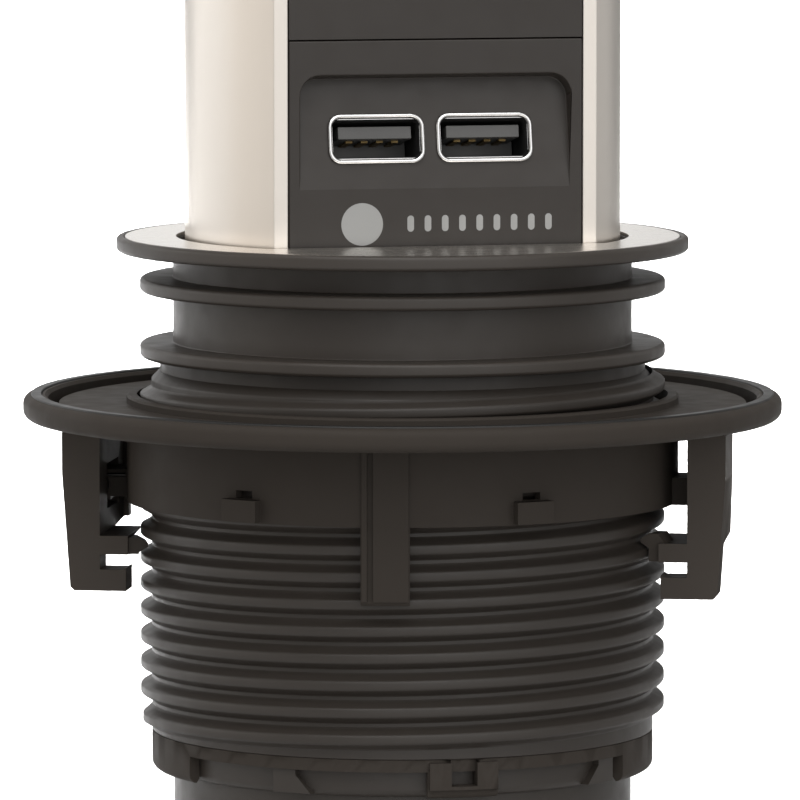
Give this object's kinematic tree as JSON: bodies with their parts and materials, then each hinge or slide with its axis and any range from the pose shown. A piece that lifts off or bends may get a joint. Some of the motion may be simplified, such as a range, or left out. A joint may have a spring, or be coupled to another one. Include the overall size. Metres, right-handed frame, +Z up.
{
  "type": "pop up desk socket",
  "caption": "Round desk socket: a threaded housing clamped in a desk cut-out by a ring with release levers, and a sliding tower with plug wells and USB charging ports.",
  "frame": {"origin": "on the axis, at the underside of the flange, where it rests on the desk", "axes": "+Z up along the tower's travel, -Y towards the front of the tower, +X to its right"},
  "size_m": [0.1142, 0.1142, 0.3431],
  "materials": {
    "housing_plastic": "fine satin moulding",
    "module_plastic": "satin moulding",
    "dark_plastic": "satin moulding",
    "seal_rubber": "soft matt",
    "anodised_profile": "satin anodised",
    "trim_metal": "fine brushed",
    "bright_steel": "bright plated",
    "screw_steel": "zinc plated",
    "black_steel": "blackened",
    "contact_brass": "bare",
    "port_grey": "smooth moulding",
    "insulator": "natural moulding",
    "board": "varnished laminate",
    "winding_tape": "tape",
    "can": "sleeved can"
  },
  "bodies": {
    "housing": {"bezel_collar": "housing_plastic", "flange_trim": "trim_metal", "threaded_sleeve": "housing_plastic", "bayonet_ring": "housing_plastic", "lower_tube": "housing_plastic", "friction_pads": "seal_rubber"},
    "washer": {"thrust_washer": "dark_plastic"},
    "ring": {"clamp_ring": "housing_plastic", "lever_spring_left": "black_steel", "lever_spring_right": "black_steel"},
    "left_lever": {"lever_left": "housing_plastic", "lever_pin_left": "black_steel"},
    "right_lever": {"lever_right": "housing_plastic", "lever_pin_right": "black_steel"},
    "tower": {"tower_profile": "anodised_profile", "cap_body": "dark_plastic", "cap_plate": "trim_metal", "cap_gasket": "seal_rubber", "cap_screws": "screw_steel", "socket_upper": "module_plastic", "socket_lower": "module_plastic", "socket_floor_upper": "module_plastic", "socket_floor_lower": "module_plastic", "contact_block_upper": "insulator", "contact_block_lower": "insulator", "contact_sleeves_upper": "contact_brass", "contact_sleeves_lower": "contact_brass", "earth_clip_upper": "screw_steel", "earth_clip_lower": "screw_steel", "shutter_spring_upper": "screw_steel", "shutter_spring_lower": "screw_steel", "usb_face": "module_plastic", "usb_shells": "bright_steel", "usb_tongues": "port_grey", "usb_contacts": "contact_brass", "charger_board": "board", "charger_transformer": "winding_tape", "charger_capacitors": "can", "live_bar": "contact_brass", "neutral_bar": "contact_brass", "earth_bar": "contact_brass", "terminal_block": "insulator", "terminal_screws": "screw_steel", "tower_foot": "dark_plastic", "foot_screws": "screw_steel", "gland_body": "dark_plastic", "gland_locknut": "dark_plastic", "gland_seal": "seal_rubber", "gland_nut": "dark_plastic"},
    "upper_shutter": {"shutter_upper": "dark_plastic"},
    "lower_shutter": {"shutter_lower": "dark_plastic"}
  },
  "joints": [
    {"name": "tower_slide", "type": "slide", "parent": "housing", "child": "tower", "axis": [0, 0, 1], "range_m": [-0.135, 0]},
    {"name": "ring_travel", "type": "slide", "parent": "housing", "child": "washer", "axis": [0, 0, 1], "range_m": [-0.0201, 0.0121]},
    {"name": "ring_turn", "type": "hinge", "parent": "washer", "child": "ring", "pos_m": [0, 0, -0.025], "axis": [0, 0, 1], "range_deg": [-1800, 1080]},
    {"name": "left_release", "type": "hinge", "parent": "ring", "child": "left_lever", "pos_m": [-0.04321, 0.01607, -0.0357], "axis": [0.3486, 0.9373, 0], "range_deg": [0, 11], "stiffness_Nm_per_rad": 0.3, "deforming": ["lever_spring_left"]},
    {"name": "right_release", "type": "hinge", "parent": "ring", "child": "right_lever", "pos_m": [0.04321, -0.01607, -0.0357], "axis": [-0.3486, -0.9373, 0], "range_deg": [0, 11], "stiffness_Nm_per_rad": 0.3, "deforming": ["lever_spring_right"]},
    {"name": "upper_shutter_slide", "type": "slide", "parent": "tower", "child": "upper_shutter", "axis": [-0.7071, 0, 0.7071], "range_m": [0, 0.007], "stiffness_N_per_m": 60, "deforming": ["shutter_spring_upper"]},
    {"name": "lower_shutter_slide", "type": "slide", "parent": "tower", "child": "lower_shutter", "axis": [-0.7071, 0, 0.7071], "range_m": [0, 0.007], "stiffness_N_per_m": 60, "deforming": ["shutter_spring_lower"]}
  ],
  "couplings": [
    {"joint": "ring_travel", "follows": "ring_turn", "m_per_rad": 0.00063662}
  ]
}
